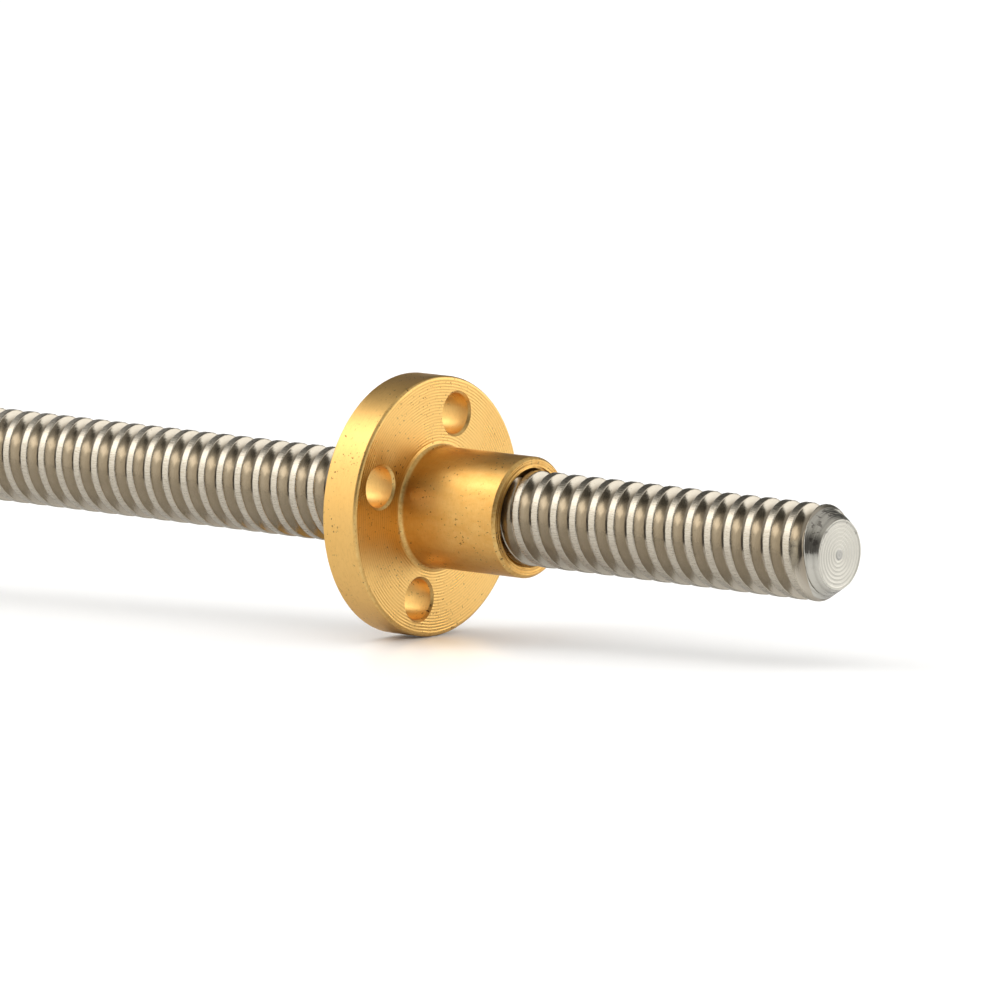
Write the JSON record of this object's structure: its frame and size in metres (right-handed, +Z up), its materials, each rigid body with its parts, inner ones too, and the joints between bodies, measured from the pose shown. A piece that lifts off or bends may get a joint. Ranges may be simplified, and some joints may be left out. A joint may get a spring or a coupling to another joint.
{
  "type": "stepper motor with lead screw",
  "caption": "Square stepper motor whose long two-start lead screw carries a round flanged brass nut that travels along it as the rotor turns.",
  "frame": {"origin": "centre of the motor's front mounting face, on the screw's axis", "axes": "+X along the screw towards its free end; +Z up, away from the side that the motor lies on; +Y completes the right-handed frame"},
  "size_m": [0.34, 0.0424, 0.0452],
  "materials": {
    "bell_aluminium": "machined die casting",
    "stator_steel": "black coated laminations",
    "electrical_steel": "ground",
    "screw_steel": "rolled and polished",
    "bearing_steel": "polished",
    "fastener_steel": "black zinc",
    "brass": "turned",
    "nut_brass": "turned",
    "winding_copper": "enamelled wire",
    "insulator_nylon": "moulded",
    "connector_nylon": "moulded",
    "pin_metal": "tinned",
    "board": "solder mask",
    "magnet": "nickel plated"
  },
  "bodies": {
    "motor": {"front_end_bell": "bell_aluminium", "stator_core": "stator_steel", "rear_end_bell": "bell_aluminium", "front_insulator": "insulator_nylon", "rear_insulator": "insulator_nylon", "coil_1": "winding_copper", "coil_2": "winding_copper", "coil_3": "winding_copper", "coil_4": "winding_copper", "coil_5": "winding_copper", "coil_6": "winding_copper", "coil_7": "winding_copper", "coil_8": "winding_copper", "housing_screws": "fastener_steel", "connector_housing": "connector_nylon", "connector_pins": "pin_metal", "terminal_board": "board", "front_bearing_outer_ring": "bearing_steel", "front_bearing_shields": "bearing_steel", "rear_bearing_outer_ring": "bearing_steel", "rear_bearing_shields": "bearing_steel", "preload_washer": "bearing_steel"},
    "rotor": {"lead_screw": "screw_steel", "front_rotor_core": "electrical_steel", "rear_rotor_core": "electrical_steel", "rotor_magnet": "magnet", "front_spacer": "brass", "rear_spacer": "brass", "front_bearing_inner_ring": "bearing_steel", "rear_bearing_inner_ring": "bearing_steel"},
    "front_ball_set": {"front_bearing_balls": "bearing_steel", "front_bearing_cage": "brass"},
    "rear_ball_set": {"rear_bearing_balls": "bearing_steel", "rear_bearing_cage": "brass"},
    "nut": {"flanged_nut": "nut_brass"}
  },
  "joints": [
    {"name": "rotor_spin", "type": "hinge", "parent": "motor", "child": "rotor", "pos_m": [0, 0, 0], "axis": [1, 0, 0], "range_deg": [-2664, 21906]},
    {"name": "front_balls_spin", "type": "hinge", "parent": "motor", "child": "front_ball_set", "pos_m": [-0.005, 0, 0], "axis": [1, 0, 0], "range_deg": [-952, 7824]},
    {"name": "rear_balls_spin", "type": "hinge", "parent": "motor", "child": "rear_ball_set", "pos_m": [-0.034, 0, 0], "axis": [1, 0, 0], "range_deg": [-952, 7824]},
    {"name": "nut_travel", "type": "slide", "parent": "motor", "child": "nut", "axis": [1, 0, 0], "range_m": [-0.24341, 0.02961]}
  ],
  "couplings": [
    {"joint": "front_balls_spin", "follows": "rotor_spin", "ratio": 0.35714},
    {"joint": "rear_balls_spin", "follows": "rotor_spin", "ratio": 0.35714},
    {"joint": "nut_travel", "follows": "rotor_spin", "m_per_rad": -0.00063662}
  ]
}
